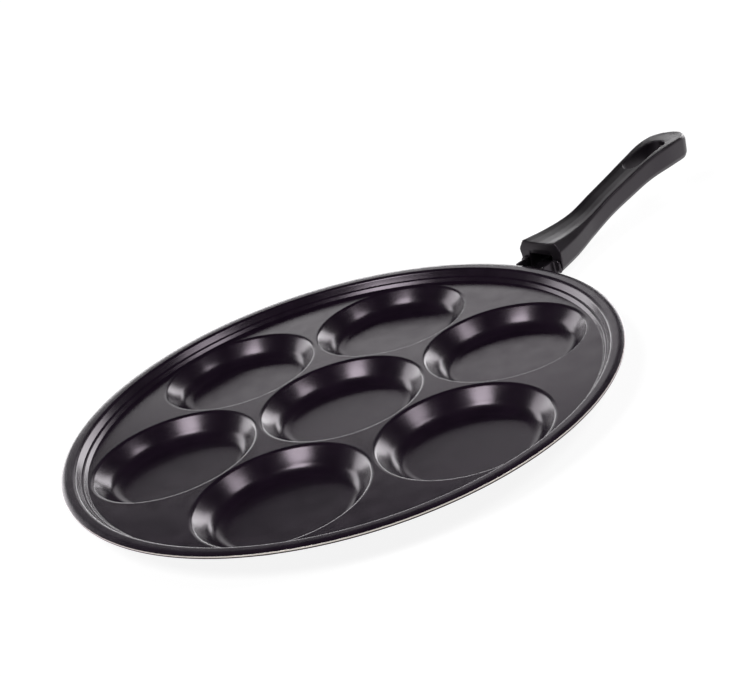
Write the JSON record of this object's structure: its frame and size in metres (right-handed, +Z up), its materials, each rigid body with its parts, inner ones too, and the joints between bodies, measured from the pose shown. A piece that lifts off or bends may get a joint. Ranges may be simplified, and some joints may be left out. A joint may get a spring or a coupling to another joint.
{
  "type": "multi-hole pancake pan",
  "caption": "Round shallow non-stick pan with a low folded rim and round wells for small pancakes, on a long moulded handle with a hanging slot.",
  "frame": {"origin": "centre of the underside of the middle well's floor, on the plane that the pan stands on", "axes": "+X along the handle, away from the pan; +Y across the pan to the left of the handle; +Z up, out of the wells"},
  "size_m": [0.409, 0.27, 0.0374],
  "materials": {
    "non_stick_coating": "satin black non-stick coating on pressed carbon steel",
    "black_steel": "black heat-resistant coating on folded steel",
    "black_phenolic": "satin black moulded phenolic",
    "zinc_plated_steel": "zinc-plated steel"
  },
  "bodies": {
    "root": {"pan_body": "non_stick_coating", "handle_bracket": "black_steel", "handle_grip": "black_phenolic", "handle_screw": "zinc_plated_steel", "screw_washer": "zinc_plated_steel", "bracket_nut": "zinc_plated_steel"}
  },
  "joints": []
}
